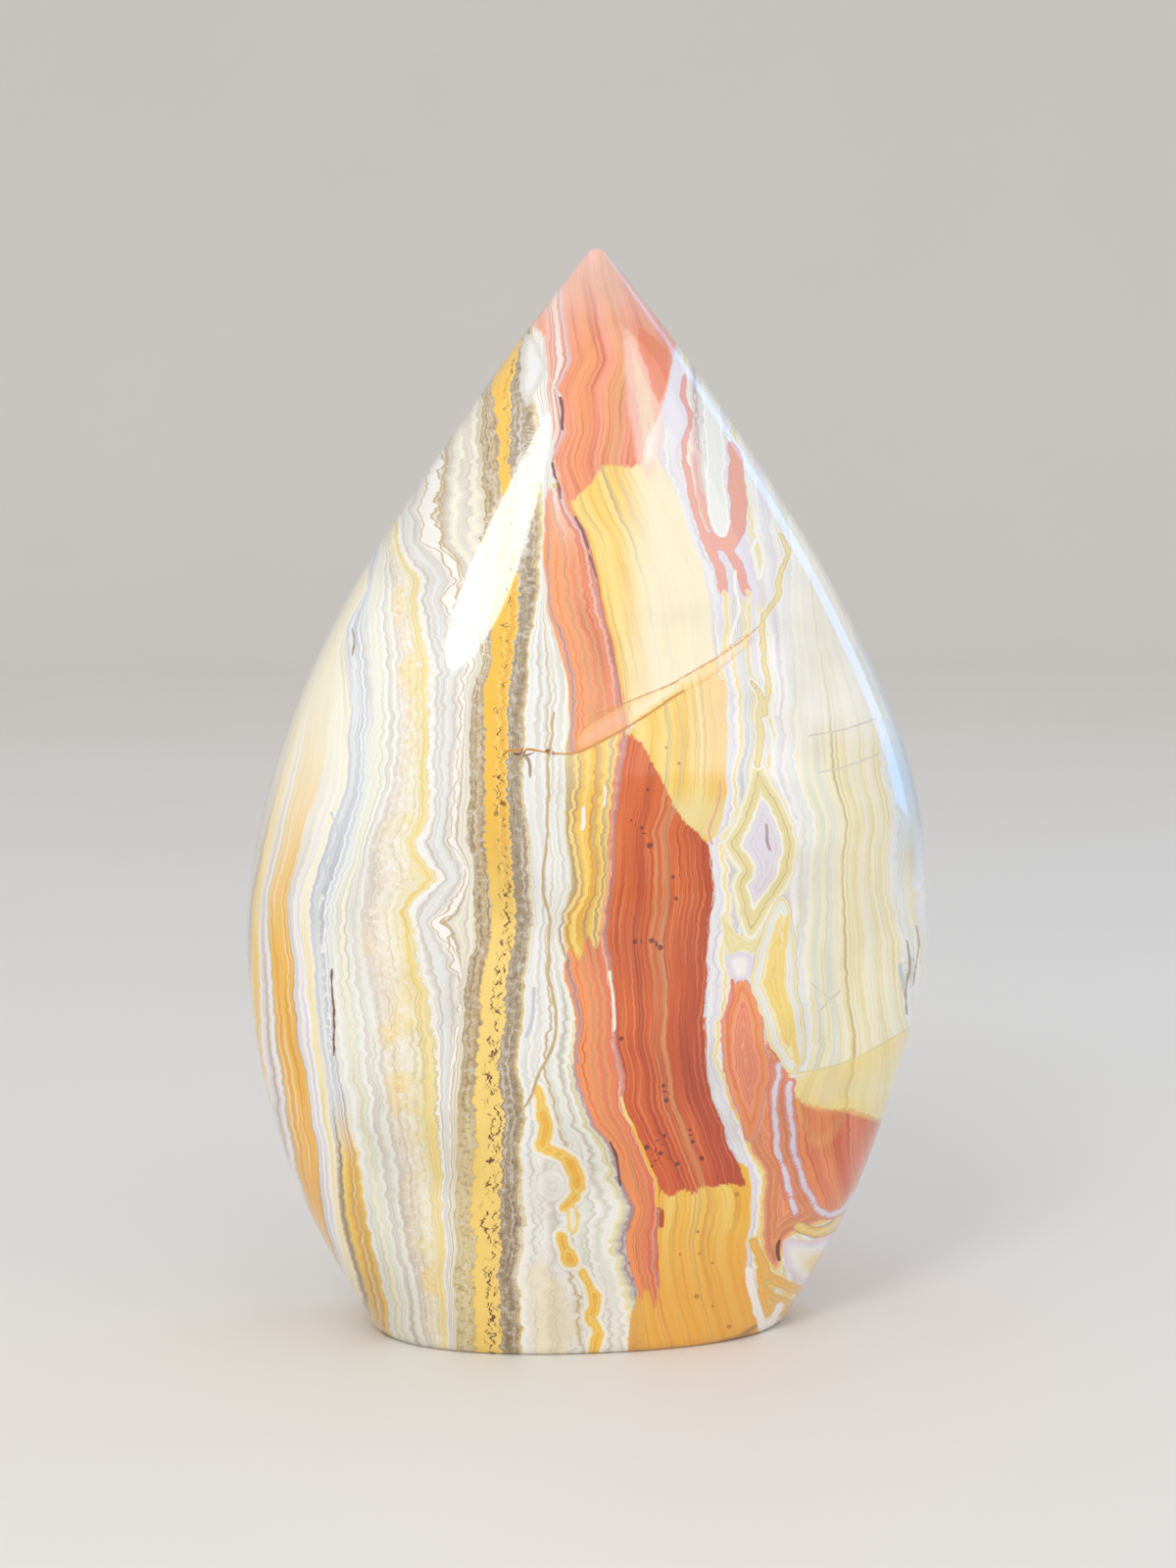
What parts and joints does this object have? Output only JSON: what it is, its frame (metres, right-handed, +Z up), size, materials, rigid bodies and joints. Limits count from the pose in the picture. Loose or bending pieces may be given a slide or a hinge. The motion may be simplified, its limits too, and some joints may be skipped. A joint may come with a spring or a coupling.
{
  "type": "crazy lace agate flame",
  "caption": "Polished banded agate cut as a flame: a pointed, domed stone that stands upright on a flat sawn base.",
  "frame": {"origin": "middle of the flat base, on the surface that the stone stands on, under the middle of its width and thickness", "axes": "+Z up through the stone towards its tip, X across the broad face, the front face looks along -Y"},
  "size_m": [0.0608, 0.0312, 0.095],
  "materials": {
    "polished_agate": "high polish"
  },
  "bodies": {
    "root": {"crazy_lace_agate": "polished_agate"}
  },
  "joints": []
}
